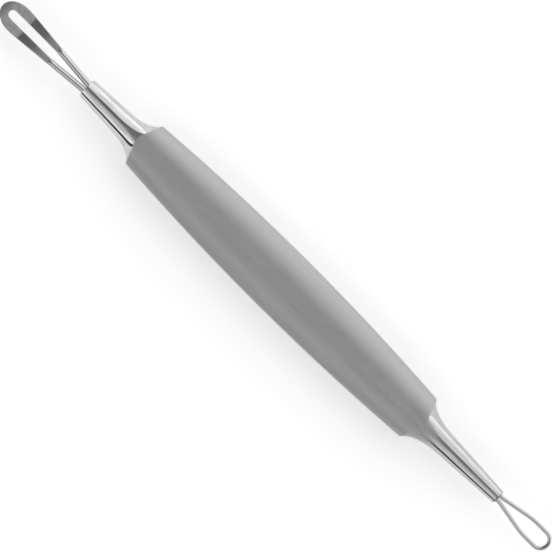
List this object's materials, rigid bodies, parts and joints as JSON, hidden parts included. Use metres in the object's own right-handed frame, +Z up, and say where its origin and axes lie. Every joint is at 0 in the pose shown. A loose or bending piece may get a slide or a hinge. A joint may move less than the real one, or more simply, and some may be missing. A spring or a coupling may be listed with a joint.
{
  "type": "blackhead extractor",
  "caption": "Double-ended blackhead extractor: an oval brushed-steel handle with turned necks, a wide flattened wire loop at one end and a fine round-wire loop at the other.",
  "frame": {"origin": "below the middle of the tool's whole length, on the surface that its handle lies on", "axes": "+X along the tool towards the fine loop, +Y across the handle's width, +Z up through its thickness"},
  "size_m": [0.1202, 0.0104, 0.0059],
  "materials": {
    "handle_steel": "satin brushed along the body, polished on the turned necks",
    "loop_steel": "polished wire, ground satin on the flattened front of the wide loop",
    "braze": "dull silver braze, recessed in the sockets"
  },
  "bodies": {
    "root": {"handle": "handle_steel", "wide_loop": "loop_steel", "fine_loop": "loop_steel", "wide_loop_braze": "braze", "fine_loop_braze": "braze"}
  },
  "joints": []
}
